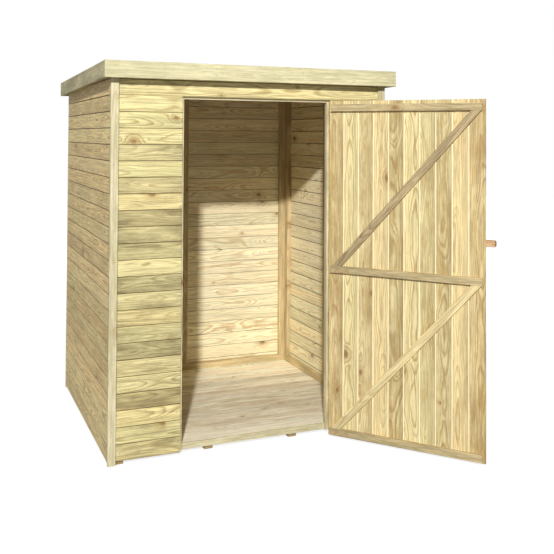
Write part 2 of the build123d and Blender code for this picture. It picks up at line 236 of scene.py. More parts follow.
def seen_directly(tree):
    """1 for rays from the camera, in mirrors and through glass, and 0 for rays that carry light."""
    path = add(tree, "ShaderNodeLightPath")
    shiny = add(tree, "ShaderNodeMath", {
        0: path.outputs["Is Camera Ray"], 1: path.outputs["Is Glossy Ray"]}, operation="MAXIMUM")
    return add(tree, "ShaderNodeMath", {
        0: shiny, 1: path.outputs["Is Transmission Ray"]}, operation="MAXIMUM")


world = bpy.data.worlds.new("pale_sky")
bpy.context.scene.world = world
world.use_nodes = True
sky = world.node_tree
sky.nodes.clear()
sky_light = add(sky, "ShaderNodeBackground", {"Color": linear("#F4F7FF"), "Strength": SKY_STRENGTH})
sky_seen = add(sky, "ShaderNodeBackground", {"Color": (1, 1, 1, 1), "Strength": 1.0})
sky_mix = add(sky, "ShaderNodeMixShader", {0: seen_directly(sky), 1: sky_light, 2: sky_seen})
add(sky, "ShaderNodeOutputWorld", {"Surface": sky_mix})
print("lamp at", tuple(round(v, 2) for v in lamp.location))

# %% Pale studio floor
FLOOR_HALF = 14
FLOOR_LIFT_NEAR = 0.80
FLOOR_LIFT_FAR = 1.0
LIFT_FROM, LIFT_TO = 2.2, 5.0

floor_mesh = bpy.data.meshes.new("studio_floor")
floor_mesh.from_pydata(
    [(x, y, 0) for x, y in ((-FLOOR_HALF, -FLOOR_HALF), (FLOOR_HALF, -FLOOR_HALF),
                            (FLOOR_HALF, FLOOR_HALF), (-FLOOR_HALF, FLOOR_HALF))],
    [], [(0, 1, 2, 3)])
studio_floor = bpy.data.objects.new("studio_floor", floor_mesh)
bpy.context.scene.collection.objects.link(studio_floor)
floor_material, tree, shader = new_material("matt_studio_floor")
shader.inputs["Base Color"].default_value = linear("#989896")
shader.inputs["Roughness"].default_value = 0.9
shader.inputs["Emission Color"].default_value = (1, 1, 1, 1)
# Away from the shed the floor fades to the backdrop's white, so that no horizon shows
place = add(tree, "ShaderNodeTexCoord").outputs["Object"]
from_shed = add(tree, "ShaderNodeVectorMath", {0: place}, operation="LENGTH")
fade = add(tree, "ShaderNodeMapRange", {
    "Value": from_shed.outputs["Value"], "From Min": LIFT_FROM, "From Max": LIFT_TO,
    "To Min": FLOOR_LIFT_NEAR, "To Max": FLOOR_LIFT_FAR}, interpolation_type="SMOOTHSTEP")
lift = add(tree, "ShaderNodeMath", {0: seen_directly(tree), 1: fade}, operation="MULTIPLY")
tree.links.new(lift.outputs[0], shader.inputs["Emission Strength"])
floor_mesh.materials.append(floor_material)
print("floor", FLOOR_HALF * 2, "m across")

# %% [markdown]
# ## Pressure-treated pine
#
# Pine grows a pale, soft ring and a thin, dark, hard ring each year. A board is a flat slice
# through those rings: a slice beside the heart shows nested arches, and one far from it shows
# straight lines. So the material is solid, not painted on: it draws rings round a heart line
# that runs along the timber, bends them with slow noise, and lets the board's face cut them.
# Knots are the feet of branches, and the rings part round each one. They are made first,
# because everything else bends round them.

# %% Knots
KNOT_SPACING = (0.42, 0.15, 4.0)
KNOT_RADIUS = 9 * MM
KNOT_STRETCH = 0.6
KNOT_RAGGED = 7 * MM
KNOTLESS_SHARE = 0.4
HILL_REACH = 3.6


def knots(tree, own):
    """A 1 in each knot's dark core, and a wider hill round it that bends the rings."""
    cells = add(tree, "ShaderNodeTexVoronoi", {
        "Vector": add(tree, "ShaderNodeVectorMath", {0: own, 1: KNOT_SPACING}, operation="DIVIDE"),
        "Scale": 1.0}, feature="F1")
    centre = add(tree, "ShaderNodeVectorMath", {
        0: cells.outputs["Position"], 1: KNOT_SPACING}, operation="MULTIPLY")
    away = add(tree, "ShaderNodeVectorMath", {0: own, 1: centre}, operation="SUBTRACT")
    flat = add(tree, "ShaderNodeVectorMath", {0: away, 1: (KNOT_STRETCH, 1, 0)}, operation="MULTIPLY")
    distance = add(tree, "ShaderNodeVectorMath", {0: flat}, operation="LENGTH").outputs["Value"]
    ragged = add(tree, "ShaderNodeTexNoise", {"Vector": own, "Scale": 90.0, "Detail": 2.0})
    way = add(tree, "ShaderNodeMath", {0: ragged, 1: KNOT_RAGGED, 2: distance},
              operation="MULTIPLY_ADD")
    dice = add(tree, "ShaderNodeSeparateColor", {0: cells.outputs["Color"]})
    size = add(tree, "ShaderNodeMapRange", {
        "Value": dice, "From Min": KNOTLESS_SHARE, "To Min": 0.5 * MM, "To Max": KNOT_RADIUS + KNOT_RAGGED})
    share = add(tree, "ShaderNodeMath", {0: way, 1: size}, operation="DIVIDE")
    core = add(tree, "ShaderNodeMapRange", {
        "Value": share, "From Min": 0.6, "From Max": 1.3, "To Min": 0.8, "To Max": 0.0})
    hill = add(tree, "ShaderNodeMapRange", {
        "Value": share, "From Min": 0.6, "From Max": HILL_REACH, "To Min": 1.0, "To Max": 0.0},
        interpolation_type="SMOOTHSTEP")
    return core, hill


# %% [markdown]
# The rings themselves are the distance from the heart line, counted in years. Slow noise moves
# the heart line about, which opens the arches; quick, small noise makes each line a little
# uneven. A year starts pale, darkens, and ends at once where the next one begins. Years differ,
# so some rings are strong and others hardly show.

# %% Year rings
RING_SPACING = 5.5 * MM
HEART_DRIFT = (0, 46 * MM, 84 * MM)
LINE_RIPPLE = (0, 2.4 * MM, 2.4 * MM)
KNOT_SWELL = (0, 5 * MM, 15 * MM)


def year_rings(tree, own, hill):
    """How much dark late wood each point has, from 0 to 1."""
    drift = add(tree, "ShaderNodeTexNoise", {
        "Vector": add(tree, "ShaderNodeVectorMath", {0: own, 1: (1, 2.6, 2.6)}, operation="MULTIPLY"),
        "Scale": 2.0, "Detail": 2.0, "Roughness": 0.42})
    ripple = add(tree, "ShaderNodeTexNoise", {
        "Vector": add(tree, "ShaderNodeVectorMath", {0: own, 1: (1, 6, 6)}, operation="MULTIPLY"),
        "Scale": 26.0, "Detail": 2.0})
    swell = add(tree, "ShaderNodeVectorMath", {
        0: add(tree, "ShaderNodeCombineXYZ", {1: hill, 2: hill}), 1: KNOT_SWELL}, operation="MULTIPLY")
    bent = add(tree, "ShaderNodeVectorMath", {0: own, 1: swell}, operation="ADD")
    for noise, reach in ((drift, HEART_DRIFT), (ripple, LINE_RIPPLE)):
        centred = add(tree, "ShaderNodeVectorMath", {
            0: noise.outputs["Color"], 1: (0.5, 0.5, 0.5)}, operation="SUBTRACT")
        bent = add(tree, "ShaderNodeVectorMath", {0: centred, 1: reach, 2: bent},
                   operation="MULTIPLY_ADD")
    section = add(tree, "ShaderNodeVectorMath", {0: bent, 1: (0, 1, 1)}, operation="MULTIPLY")
    radius = add(tree, "ShaderNodeVectorMath", {0: section}, operation="LENGTH").outputs["Value"]
    uneven = add(tree, "ShaderNodeTexNoise", {"W": radius, "Scale": 1 / (4 * RING_SPACING)},
                 noise_dimensions="1D")
    years = add(tree, "ShaderNodeMath", {
        0: uneven, 1: 3.0,
        2: add(tree, "ShaderNodeMath", {0: radius, 1: RING_SPACING}, operation="DIVIDE"),
    }, operation="MULTIPLY_ADD")
    part = add(tree, "ShaderNodeMath", {0: years}, operation="FRACT")
    darkening = add(tree, "ShaderNodeMapRange", {
        "Value": part, "From Min": 0.3, "From Max": 0.85}, interpolation_type="SMOOTHSTEP")
    ending = add(tree, "ShaderNodeMapRange", {
        "Value": part, "From Min": 0.88, "From Max": 1.0, "To Min": 1.0, "To Max": 0.0})
    good_years = add(tree, "ShaderNodeTexNoise", {"W": radius, "Scale": 1 / (2.2 * RING_SPACING)},
                     noise_dimensions="1D")
    strength = add(tree, "ShaderNodeMapRange", {
        "Value": good_years, "From Min": 0.35, "From Max": 0.65, "To Min": 0.2, "To Max": 1.0})
    late = add(tree, "ShaderNodeMath", {0: darkening, 1: ending}, operation="MULTIPLY")
    return add(tree, "ShaderNodeMath", {0: late, 1: strength}, operation="MULTIPLY")


# %% [markdown]
# Over the rings come the marks of the sawmill and the treatment tank. The planed face has fine
# fibres and longer streaks, all along the grain. The preservative leaves dull olive patches,
# which are wide on some boards and missing on others. Each board comes from another tree, so it
# has a tone and a cast of its own. The joints between boards hold dirt and shade; only on the
# door's inner face are they clean, because the tongue that shows there was never weathered.

# %% The pine material
FIBRE_SPACING = 2.5 * MM
STREAK_WIDTH = 9 * MM
PATCH_LENGTH, PATCH_WIDTH = 0.24, 0.07
PATCH_FROM, PATCH_FULL = 0.36, 0.60
DARK_BOARD_PATCHES = -0.22
HALO_STRENGTH = 0.45
FRONT_JOINT = ("#574229", 0.970)
SIDE_JOINT = ("#4E3A24", 0.950)
DOOR_JOINT = ("#FCF2CE", 0.945)


def pine(name, pale, ring, stain, boards=True, turn=(0, 0, 0), heart=(0, 0, 0), stained=0.6,
         ring_strength=0.75, tones=(0.80, 1.08),
         streaks=(0.84, 1.07), cup_shade=0.03, rough=0.64, joint=FRONT_JOINT):
    """Treated pine. On boards the grain comes from the board's own coordinates; on other timber it
    comes from the object's, turned so that x runs along the piece, with the heart line at `heart`."""
    material, tree, shader = new_material(name)
    if boards:
        own = add(tree, "ShaderNodeAttribute", attribute_name="grain").outputs["Vector"]
        about = add(tree, "ShaderNodeAttribute", attribute_name="board").outputs["Vector"]
        board = add(tree, "ShaderNodeSeparateXYZ", {0: about})
    else:
        own = add(tree, "ShaderNodeMapping", {
            "Vector": add(tree, "ShaderNodeTexCoord").outputs["Object"],
            "Location": heart, "Rotation": turn}).outputs[0]
    core, hill = knots(tree, own)
    late = year_rings(tree, own, hill)
    ring_amount = add(tree, "ShaderNodeMath", {0: late, 1: ring_strength}, operation="MULTIPLY")
    wood = add(tree, "ShaderNodeMix", {0: ring_amount, "A": linear(pale), "B": linear(ring)},
               data_type="RGBA").outputs["Result"]

    # Patches of preservative, more of them on the darker boards
    patches = add(tree, "ShaderNodeTexNoise", {
        "Vector": add(tree, "ShaderNodeVectorMath", {
            0: own, 1: (1 / PATCH_LENGTH, 1 / PATCH_WIDTH, 1 / PATCH_WIDTH)}, operation="MULTIPLY"),
        "Scale": 1.0, "Detail": 6.0, "Roughness": 0.68})
    patch_level = patches.outputs["Fac"]
    if boards:
        patch_level = add(tree, "ShaderNodeMath", {
            0: board.outputs["Y"], 1: DARK_BOARD_PATCHES, 2: patch_level}, operation="MULTIPLY_ADD")
    patch_amount = add(tree, "ShaderNodeMapRange", {
        "Value": patch_level, "From Min": PATCH_FROM, "From Max": PATCH_FULL, "To Max": stained})
    wood = add(tree, "ShaderNodeMix", {0: patch_amount, "A": wood, "B": linear(stain)},
               data_type="RGBA").outputs["Result"]

    # Streaks and fibres, drawn a few times coarser than real ones so that they show at all
    fibre = add(tree, "ShaderNodeTexNoise", {
        "Vector": add(tree, "ShaderNodeVectorMath", {0: own, 1: (0.035, 1, 1)}, operation="MULTIPLY"),
        "Scale": 1 / FIBRE_SPACING, "Detail": 3.0, "Roughness": 0.6})
    streak = add(tree, "ShaderNodeTexNoise", {
        "Vector": add(tree, "ShaderNodeVectorMath", {0: own, 1: (0.035, 1, 1)}, operation="MULTIPLY"),
        "Scale": 1 / STREAK_WIDTH, "Detail": 2.0, "Roughness": 0.5})
    for lines, low, high in ((fibre, 0.86, 1.09), (streak, *streaks)):
        shade = add(tree, "ShaderNodeMapRange", {
            "Value": lines, "From Min": 0.36, "From Max": 0.64, "To Min": low, "To Max": high})
        wood = add(tree, "ShaderNodeVectorMath", {0: wood, 1: shade}, operation="MULTIPLY")
    if boards:
        tone = add(tree, "ShaderNodeMapRange", {
            "Value": board.outputs["Y"], "To Min": tones[0], "To Max": tones[1]})
        cast = ramp(tree, board.outputs["Z"], [(0.0, "#FFF7E6"), (0.5, "#FFFBF0"), (1.0, "#F7F7E8")])
        # Painted shade: each board is lighter along one edge and darker along the other, the way light
        # falls on a board curved across its width.
        painted_cup_shade = add(tree, "ShaderNodeMath", {0: board.outputs["X"], 1: cup_shade, 2: 1.0},
                     operation="MULTIPLY_ADD")
        for part in (tone, cast, painted_cup_shade):
            wood = add(tree, "ShaderNodeVectorMath", {0: wood, 1: part}, operation="MULTIPLY")
    halo = add(tree, "ShaderNodeMath", {0: hill, 1: HALO_STRENGTH}, operation="MULTIPLY")
    for amount, colour in ((halo, "#A9854F"), (core, "#8A6436")):
        wood = add(tree, "ShaderNodeMix", {0: amount, "A": wood, "B": linear(colour)},
                   data_type="RGBA").outputs["Result"]
    if boards:
        edge = add(tree, "ShaderNodeMath", {0: board}, operation="ABSOLUTE")
        joint_colour, joint_from = joint
        seam = add(tree, "ShaderNodeMapRange", {
            "Value": edge, "From Min": joint_from - 0.008, "From Max": joint_from + 0.008})
        wood = add(tree, "ShaderNodeMix", {0: seam, "A": wood, "B": linear(joint_colour)},
                   data_type="RGBA").outputs["Result"]
    shader.inputs["IOR"].default_value = 1.45
    gloss = add(tree, "ShaderNodeMapRange", {
        "Value": late, "To Min": rough + 0.06, "To Max": rough - 0.06})
    relief = add(tree, "ShaderNodeMath", {0: late, 1: 0.6, 2: fibre}, operation="MULTIPLY_ADD")
    bump = add(tree, "ShaderNodeBump", {
        "Height": relief, "Strength": 0.5, "Distance": 0.35 * MM})
    for made, socket in ((wood, "Base Color"), (gloss.outputs[0], "Roughness"),
                         (bump.outputs[0], "Normal")):
        tree.links.new(made, shader.inputs[socket])
    return material


# %% A pine for each sheet of boards
front_pine = pine("front_cladding_pine", "#EFE4AF", "#A0854E", "#A0936A", stained=0.8,
                  ring_strength=0.8, tones=(0.78, 1.10), streaks=(0.76, 1.10))
# Painted light: the left wall's pine is paler than the front's, to make up for the weak, slanting light
# that falls on it.
side_pine = pine("side_cladding_pine", "#FFEAB4", "#B08040", "#C4A86C", stained=0.5,
                 ring_strength=0.8, tones=(0.92, 1.14), streaks=(0.78, 1.10), joint=SIDE_JOINT)
# Painted light: the back wall's and the right wall's pine are paler than the front's, so that the light
# falling in through the doorway looks as strong as sunshine.
room_pine = pine("room_cladding_pine", "#FFF8DC", "#CCA870", "#CDBA8C", stained=0.3,
                 tones=(0.92, 1.10))
right_pine = pine("right_cladding_pine", "#FFFADF", "#D8B478", "#D8C492", stained=0.2,
                  tones=(0.98, 1.14), joint=SIDE_JOINT)
door_pine = pine("door_board_pine", "#F4E4B4", "#A87C42", "#B89A62", stained=0.75, cup_shade=0.10,
                 ring_strength=0.8, tones=(0.88, 1.05), streaks=(0.82, 1.08), joint=DOOR_JOINT)
# Painted light: the floor's pine is paler than the front's, so that the light falling in through the
# doorway looks as strong as sunshine.
floor_pine = pine("floor_board_pine", "#FFFDF0", "#C8A06C", "#A8865A", stained=0.35,
                  tones=(0.96, 1.16), streaks=(0.88, 1.08), joint=("#C8B48C", 0.985))
# Painted shade: the roof boards' pine is darker than the walls', so that the roof space inside stays dim
# and throws back little light.
roof_pine = pine("roof_board_pine", "#B99A6C", "#8A673A", "#9C8A66")
print("pine materials:", [m.name for m in bpy.data.materials if "pine" in m.name])

# %% [markdown]
# ## One board
#
# The cladding is tongued and grooved matchboard: a flat face with an eased edge on each side, a
# tongue along the top and a groove along the bottom. Where two boards meet, the eased edges make
# the V-shaped line that shows in the photograph. The section is drawn once and run along the
# board. A board that has no neighbour on a side keeps a plain edge there, as if the tongue had
# been sawn off. Each board also carries its own grain coordinates, shifted by a random step, so
# that no two boards are cut from the same place in the log.

# %% Board section
BOARD_GAP = 0.9 * MM
FACE_EASE = 3.0 * MM
BACK_EASE = 1.0 * MM
TONGUE_LENGTH = 6.0 * MM
TONGUE_CLEAR = 0.4 * MM
TONGUE_FROM, TONGUE_TO = 0.42, 0.70


def board_section(low, high, thick, tongue, groove, ease, back_gap):
    """Points (across, depth) of a matchboard's section, from the eased lower face edge round. On
    the back the board is narrower by `back_gap`, so that a strip of its tongue shows there."""
    foot = low + BOARD_GAP / 2 if groove else low
    head = high - BOARD_GAP / 2 if tongue else high
    back_head = head - back_gap if tongue else head
    tongue_out, tongue_in = thick * TONGUE_FROM, thick * TONGUE_TO
    points = [(foot, ease), (foot + ease, 0), (head - ease, 0), (head, ease)]
    if tongue:
        points += [(head, tongue_out), (head + TONGUE_LENGTH, tongue_out),
                   (head + TONGUE_LENGTH, tongue_in), (back_head, tongue_in)]
    points += [(back_head, thick - BACK_EASE), (back_head - BACK_EASE, thick),
               (foot + BACK_EASE, thick), (foot, thick - BACK_EASE)]
    if groove:
        floor_of_groove = foot + TONGUE_LENGTH + BOARD_GAP
        points += [(foot, tongue_in + TONGUE_CLEAR), (floor_of_groove, tongue_in + TONGUE_CLEAR),
                   (floor_of_groove, tongue_out - TONGUE_CLEAR), (foot, tongue_out - TONGUE_CLEAR)]
    return points


# %% A built form becomes an object
def make_object(name, form, material, body):
    """Turn a bmesh into an object of one material that rides with a body, and free the bmesh."""
    bmesh.ops.recalc_face_normals(form, faces=form.faces)
    mesh = bpy.data.meshes.new(name)
    form.to_mesh(mesh)
    form.free()
    mesh.materials.append(material)
    made = bpy.data.objects.new(name, mesh)
    bpy.context.scene.collection.objects.link(made)
    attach(made, body)
    return made


# %% Board maker
PLAIN_EDGE = 0.9
SHIFT_ALONG = 40
SHIFT_ACROSS = 0.03
HEART_DEPTHS = (12 * MM, 75 * MM)


def make_boards(name, origin, along, inward, rows, thick, body, material, seed, cuts=(),
                ease=FACE_EASE, back_gap=0):
    """Boards side by side in one mesh. Each row is (start, end, low, high) along and across the
    sheet. A cut is a (point, normal) of the model: what lies on the normal's side is sawn off."""
    across = inward.cross(along)
    place = Matrix((along, across, inward)).transposed().to_4x4()
    place.translation = origin
    back_to_sheet = place.inverted()
    draw = random.Random(seed)
    whole = bmesh.new()
    grain_layer = whole.verts.layers.float_vector.new("grain")
    board_layer = whole.verts.layers.float_vector.new("board")
    row_feet = {(start, end, round(low, 5)) for start, end, low, high in rows}
    row_heads = {(start, end, round(high, 5)) for start, end, low, high in rows}
    for start, end, low, high in rows:
        tongue = (start, end, round(high, 5)) in row_feet
        groove = (start, end, round(low, 5)) in row_heads
        piece = bmesh.new()
        section = board_section(low, high, thick, tongue, groove, ease, back_gap)
        rings = [[piece.verts.new((x, a, d)) for a, d in section] for x in (start, end)]
        count = len(section)
        for i in range(count):
            j = (i + 1) % count
            piece.faces.new((rings[0][i], rings[0][j], rings[1][j], rings[1][i]))
        piece.faces.new(rings[0][::-1])
        piece.faces.new(rings[1])
        for point, normal in cuts:
            sawn = bmesh.ops.bisect_plane(
                piece, geom=piece.verts[:] + piece.edges[:] + piece.faces[:],
                plane_co=back_to_sheet @ point, plane_no=back_to_sheet.to_3x3() @ normal,
                clear_outer=True)
            rim = [g for g in sawn["geom_cut"] if isinstance(g, bmesh.types.BMEdge)]
            if rim:
                bmesh.ops.edgenet_fill(piece, edges=rim)
        shift = Vector((draw.uniform(0, SHIFT_ALONG), draw.uniform(-SHIFT_ACROSS, SHIFT_ACROSS),
                        draw.uniform(*HEART_DEPTHS)))
        flip = draw.choice((-1, 1))
        tone, hue = draw.random(), draw.random()
        middle, half = (low + high) / 2, (high - low) / 2
        copies = {}
        for v in piece.verts:
            copy = whole.verts.new(place @ v.co)
            copy[grain_layer] = Vector((v.co.x, (v.co.y - middle) * flip, v.co.z)) + shift
            share = (v.co.y - middle) / half
            share = share if tongue else min(share, PLAIN_EDGE)
            share = share if groove else max(share, -PLAIN_EDGE)
            copy[board_layer] = Vector((share, tone, hue))
            copies[v] = copy
        for f in piece.faces:
            whole.faces.new([copies[v] for v in f.verts])
        piece.free()
    open_edges = sum(not e.is_manifold for e in whole.edges)
    made = make_object(name, whole, material, body)
    print(f"{name}: {len(rows)} boards, {len(made.data.polygons)} faces, {open_edges} open edges")
    return made


def courses(low, high, first, width):
    """Low and high edges of boards that cover low to high, with one joint at height `first`."""
    joint = first - math.ceil((first - low) / width - 0.5) * width
    edges = [low]
    while joint < high - 0.1 * width:
        if joint > low + 0.5 * width:
            edges.append(joint)
        joint += width
    return list(zip(edges, edges[1:] + [high]))


# %% [markdown]
# ## The walls
#
# Every wall has its boards at the same heights, so the joints run round the corners. The upper
# edge follows the roof, so the side walls' top boards are sawn on the slope. A joint falls on
# the doorway's head, where the header boards begin. The number after each material is the seed
# that decides which of the wall's boards come out pale or dark.

# %% Board the walls
roof_point = Vector((0, header_low.y, header_high.z))
roof_normal = Vector((0, roof_slope, 1)).normalized()
under_roof = [(roof_point, roof_normal)]
TOP_SPARE = 30 * MM


def wall_rows(length, low, high):
    return [(0, length, a, b) for a, b in courses(low, high, head_z, cover)]


side_length = left_high.y - left_low.y
side_rows = wall_rows(side_length, wall_foot, left_high.z + TOP_SPARE)
left_boards = make_boards(
    "left_wall_boards", Vector((left_low.x, left_low.y, 0)), Y, X, side_rows, skin,
    "shed", side_pine, 508, under_roof)
right_boards = make_boards(
    "right_wall_boards", Vector((right_high.x, right_high.y, 0)), -Y, -X, side_rows, skin,
    "shed", right_pine, 12, under_roof)
wall_length = back_high.x - back_low.x
back_boards = make_boards(
    "back_wall_boards", Vector((back_low.x, back_high.y, 0)), X, -Y,
    wall_rows(wall_length, wall_foot, back_high.z + TOP_SPARE), skin, "shed", room_pine, 13, under_roof)
front_left_boards = make_boards(
    "front_left_boards", Vector((front_high.x, front_low.y, 0)), -X, Y,
    wall_rows(front_high.x - front_low.x, wall_foot, head_z), skin,
    "shed", front_pine, 871)
front_right_boards = make_boards(
    "front_right_boards", Vector((right_panel_high.x, front_low.y, 0)), -X, Y,
    wall_rows(right_panel_high.x - right_panel_low.x, wall_foot, head_z), skin,
    "shed", front_pine, 15)
header_boards = make_boards(
    "header_boards", Vector((header_high.x, header_low.y, 0)), -X, Y,
    wall_rows(wall_length, head_z, header_high.z + TOP_SPARE), skin, "shed", front_pine, 34,
    under_roof)

for made, node, slot in (
    (left_boards, "left_wall", "side_cladding"),
    (right_boards, "right_wall", "side_cladding"),
    (back_boards, "back_wall", "side_cladding"),
    (front_left_boards, "front_wall_left", "front_cladding"),
    (front_right_boards, "front_wall_right", "front_cladding"),
    (header_boards, "front_wall_header", "front_cladding"),
):
    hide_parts(node)

# %% [markdown]
# ## The floor
#
# The floor is of the same matchboard, laid face up across the bearers, which run front to back.
# Behind the doorway the floor is cut back to the threshold, so the first full board starts
# there, and a short length fills in on either side.

# %% Board the floor
notch = [v.co for v in frame["nodes"]["floor"].data.vertices
         if floor_low.y + MM < v.co.y < floor_high.y - MM]
notch_back = max(co.y for co in notch)
notch_left, notch_right = min(co.x for co in notch), max(co.x for co in notch)
floor_length = floor_high.x - floor_low.x
to_notch = floor_high.y - notch_back
to_front = floor_high.y - floor_low.y
floor_rows = [(0, floor_length, a, b) for a, b in courses(0, to_notch, to_notch, cover)]
floor_rows += [(0, notch_left - floor_low.x, to_notch, to_front),
               (notch_right - floor_low.x, floor_length, to_notch, to_front)]
floor_boards = make_boards(
    "floor_boards", Vector((floor_low.x, floor_high.y, floor_high.z)), X, -Z, floor_rows,
    floor_high.z - floor_low.z, "shed", floor_pine, 21, ease=BACK_EASE)
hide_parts("floor")

# %% [markdown]
# ## The door's boards
#
# A ledged-and-braced door is a row of upright boards held by three ledges. The boards are the
# same as the walls', so the ten of them make the door's width. Its inner face shows, where a
# matchboard stops a little short of the next one and a strip of the clean tongue can be seen:
# those are the pale lines of the photograph. The boards hang in the door's own directions, which
# follow the hinge, and ride with the door.

# %% Board the door
DOOR_BACK_GAP = 4.5 * MM
door_width = door_far[0] - door_near[0]
door_cover = door_width / DOOR_BOARDS
door_rows = [(0, door_far[2] - door_near[2], i * door_cover, (i + 1) * door_cover)
             for i in range(DOOR_BOARDS)]
door_skin = make_boards(
    "door_matchboards", on_door(door_far[0], door_near[1], door_near[2]), Z, door_inward,
    door_rows, door_far[1] - door_near[1], "door", door_pine, 31, back_gap=DOOR_BACK_GAP)
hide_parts("door_boards")

# %% [markdown]
# ## What the felt is made of
#
# Roofing felt is bitumen with crushed mineral pressed into its face. From a distance it is one
# dull colour; close to, each grain is a little lighter or darker and catches the light by
# itself. The grit is about a millimetre across and is drawn three times coarser so that it shows.

# %% Mineral felt
GRIT = 3 * MM
felt_material, tree, shader = new_material("mineral_roofing_felt")
place = add(tree, "ShaderNodeTexCoord").outputs["Object"]
grit = add(tree, "ShaderNodeTexVoronoi", {"Vector": place, "Scale": 1 / GRIT}, feature="F1")
grey = add(tree, "ShaderNodeSeparateColor", {0: grit.outputs["Color"]})
felt_colour = ramp(tree, grey.outputs[0], [(0.0, "#33362F"), (0.55, "#4A4E45"), (0.9, "#5B5F55"),
                                           (1.0, "#8B8E82")])
weather = add(tree, "ShaderNodeTexNoise", {"Vector": place, "Scale": 3.0, "Detail": 3.0})
weathered = add(tree, "ShaderNodeMapRange", {
    "Value": weather.outputs["Fac"], "From Min": 0.3, "From Max": 0.7, "To Min": 0.86, "To Max": 1.1})
felt_colour = add(tree, "ShaderNodeVectorMath", {
    0: felt_colour, 1: weathered.outputs[0]}, operation="MULTIPLY").outputs[0]
tree.links.new(felt_colour, shader.inputs["Base Color"])
shader.inputs["Roughness"].default_value = 0.95
grain_bump = add(tree, "ShaderNodeBump", {
    "Height": grit.outputs["Distance"], "Strength": 0.6, "Distance": 0.8 * MM}, invert=True)
tree.links.new(grain_bump.outputs[0], shader.inputs["Normal"])
print("felt material:", felt_material.name)

# %% [markdown]
# ## The roof's boards and felt
#
# The roof boards lie across the joists, from side to side, and slope with the roof. The felt
# comes off a roll a metre wide, so two strips are needed: the back one goes down first and the
# front one laps over it, so that rain runs off the lap and not into it.

# %% Board the roof
down = Vector((0, -roof_slope, -1)).normalized()
deck_depth = deck_high.y - deck_low.y
deck_fall = roof_slope * deck_depth
deck_thick = deck_high.z - deck_low.z - deck_fall
roof_rows = [(0, deck_high.x - deck_low.x, a, b)
             for a, b in courses(-0.2 * cover, deck_depth + 0.2 * cover, deck_depth, cover)]
roof_boards = make_boards(
    "roof_boards", Vector((deck_low.x, deck_high.y, deck_high.z - deck_fall)), X, down, roof_rows,
    deck_thick, "shed", roof_pine, 41,
    [(Vector((0, deck_low.y, 0)), -Y), (Vector((0, deck_high.y, 0)), Y)])
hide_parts("roof_deck")

# %% Lay the felt
FELT_SHEET = 1.3 * MM
FELT_LAP = 75 * MM
FELT_RAMP = 25 * MM
FELT_WAVE = 0.15 * MM
LAP_AT = 0.52
FELT_STEPS = (96, 64)


def felt_base(y):
    """Height of the roof boards' upper face at depth y."""
    return deck_high.z - roof_slope * (y - felt_low.y)


lap_front = felt_low.y + LAP_AT * (felt_high.y - felt_low.y)
lap_back = lap_front + FELT_LAP


def felt_strip(name, y_front, y_back, lift, seed):
    """One strip of felt, as a thin closed sheet whose underside follows base plus lift(y)."""
    draw = random.Random(seed)
    phase = [draw.uniform(0, 6.28) for _ in range(4)]
    across_steps, along_steps = FELT_STEPS
    made = bmesh.new()
    layers = []
    for top in (0, 1):
        grid = []
        for j in range(along_steps + 1):
            y = y_front + (y_back - y_front) * j / along_steps
            row = []
            for i in range(across_steps + 1):
                x = felt_low.x + (felt_high.x - felt_low.x) * i / across_steps
                wave = FELT_WAVE * (1 + math.sin(9 * x + phase[0]) * math.sin(7 * y + phase[1])) / 2
                row.append(made.verts.new((x, y, felt_base(y) + lift(y) + wave + top * FELT_SHEET)))
            grid.append(row)
        layers.append(grid)
    low, high = layers
    for j in range(along_steps):
        for i in range(across_steps):
            made.faces.new((high[j][i], high[j][i + 1], high[j + 1][i + 1], high[j + 1][i]))
            made.faces.new((low[j][i], low[j + 1][i], low[j + 1][i + 1], low[j][i + 1]))
    for j in range(along_steps):
        for i, turn in ((0, 1), (across_steps, -1)):
            corner = (low[j][i], high[j][i], high[j + 1][i], low[j + 1][i])
            made.faces.new(corner[::turn])
    for i in range(across_steps):
        for j, turn in ((0, 1), (along_steps, -1)):
            corner = (low[j][i], low[j][i + 1], high[j][i + 1], high[j][i])
            made.faces.new(corner[::turn])
    strip = make_object(name, made, felt_material, "shed")
    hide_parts("roof_felt")
    print(f"{name}: {(y_back - y_front) / MM:.0f} mm deep")
    return strip


def lap_lift(y):
    """The front strip climbs onto the back strip over a short ramp."""
    part = min(max((y - lap_front + FELT_RAMP) / FELT_RAMP, 0), 1)
    return (FELT_SHEET + FELT_WAVE) * part * part * (3 - 2 * part)


felt_strip("back_felt", lap_front, felt_high.y, lambda y: 0, 51)
felt_strip("front_felt", felt_low.y, lap_back, lap_lift, 52)

# %% [markdown]
# ## Timber that the model already shapes
#
# Posts, rails, ledges, battens and fascias keep the model's own solids. They have no boards'
# coordinates, so their grain is laid out in space: turned so that it runs the length of each
# piece, with a heart line set at a chosen distance from it.

# %% Grain along each piece
def grain_turn(direction, face):
    """Rotation that lays the grain along `direction`, with `face` the way the rings are cut from."""
    across = face.cross(direction)
    return Matrix((direction, across, face)).to_euler()


def timber(name, nodes, direction, face, pale, ring, stain, heart_depth=30 * MM, **more):
    """Give CAD timbers one pine material with the grain along `direction`."""
    low = Vector([min(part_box(n)[0][i] for n in nodes) for i in range(3)])
    high = Vector([max(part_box(n)[1][i] for n in nodes) for i in range(3)])
    turn = grain_turn(direction.normalized(), face.normalized())
    heart = -(turn.to_matrix() @ ((low + high) / 2)) + Vector((len(name) * 1.37, 0.01, heart_depth))
    made = pine(name, pale, ring, stain, boards=False, turn=turn, heart=heart, **more)
    for node in nodes:
        for slot in frame["nodes"][node].material_slots:
            slot.material = made
    return made


